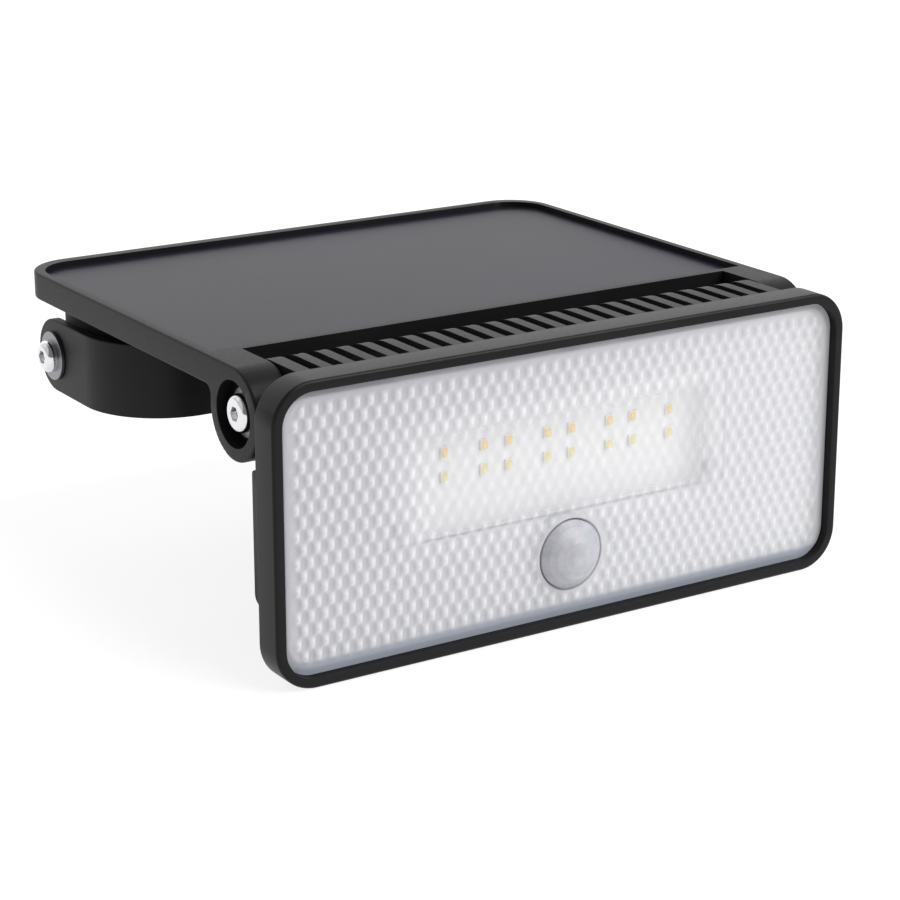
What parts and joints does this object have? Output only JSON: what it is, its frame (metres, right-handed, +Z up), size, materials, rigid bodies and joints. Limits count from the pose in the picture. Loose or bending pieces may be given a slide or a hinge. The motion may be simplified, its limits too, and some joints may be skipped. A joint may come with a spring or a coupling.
{
  "type": "solar flood light",
  "caption": "Wall solar flood light: solar tray on a folding U bracket, with a tilting head that holds a prismatic lens, LEDs and a motion sensor.",
  "frame": {"origin": "centre of the outer face of the wall bracket's base, between its two screw holes", "axes": "+X along the hinge and pivot axes, to the right seen from the front; +Y from the lens towards the rear edge of the tray, so the bracket's base faces -Y; +Z up out of the solar panel when the light is folded"},
  "size_m": [0.2052, 0.1785, 0.0912],
  "materials": {
    "backsheet": "smooth",
    "black_housing_plastic": "fine moulded texture, satin",
    "button_rubber": "matte",
    "cell_wrap": "shrink film",
    "chrome_screw": "polished",
    "circuit_board": "solder mask",
    "clear_lens": "clear, prismatic",
    "component_plastic": "moulded",
    "cradle_plastic": "moulded",
    "dome_polyethylene": "translucent white",
    "friction_nylon": "moulded",
    "led_phosphor": "phosphor",
    "nickel_strip": "plain",
    "powder_coated_steel": "satin powder coat",
    "screw_steel": "plated",
    "seal_rubber": "matte",
    "sensor_can": "plain",
    "solar_cell": "smooth",
    "solar_glass": "clear",
    "white_board": "white solder mask",
    "white_reflector": "satin white"
  },
  "bodies": {
    "bracket": {"wall_bracket": "powder_coated_steel"},
    "panel": {"panel_tray": "black_housing_plastic", "solar_glass": "solar_glass", "solar_cells": "solar_cell", "solar_backsheet": "backsheet", "battery_box": "black_housing_plastic", "box_gasket": "seal_rubber", "box_screws": "screw_steel", "battery_cells": "cell_wrap", "battery_cradle": "cradle_plastic", "battery_tabs": "nickel_strip", "charge_board": "circuit_board", "charge_components": "component_plastic", "switch_board": "circuit_board", "tactile_switch": "component_plastic", "pivot_screws": "chrome_screw", "pivot_washers": "chrome_screw", "pivot_friction_discs": "friction_nylon", "pivot_nuts": "chrome_screw"},
    "button": {"mode_button": "button_rubber", "switch_plunger": "component_plastic"},
    "head": {"head_frame": "black_housing_plastic", "front_lens": "clear_lens", "lens_gasket": "seal_rubber", "reflector": "white_reflector", "led_board": "white_board", "led_chips": "led_phosphor", "led_board_screws": "screw_steel", "pir_dome": "dome_polyethylene", "pir_ring": "white_reflector", "pir_sensor": "sensor_can", "sensor_board": "circuit_board", "head_housing": "black_housing_plastic", "short_screws": "screw_steel", "long_screws": "screw_steel", "hinge_screws": "chrome_screw", "hinge_washers": "chrome_screw", "hinge_friction_discs": "friction_nylon", "hinge_nuts": "chrome_screw"}
  },
  "joints": [
    {"name": "bracket_fold", "type": "hinge", "parent": "bracket", "child": "panel", "pos_m": [0, 0.051, 0], "axis": [-1, 0, 0], "range_deg": [0, 190]},
    {"name": "head_tilt", "type": "hinge", "parent": "panel", "child": "head", "pos_m": [0, -0.0797, 0.0135], "axis": [1, 0, 0], "range_deg": [-90, 90]},
    {"name": "mode_press", "type": "slide", "parent": "panel", "child": "button", "axis": [0, 0, 1], "range_m": [0, 0.0008], "stiffness_N_per_m": 2000}
  ]
}
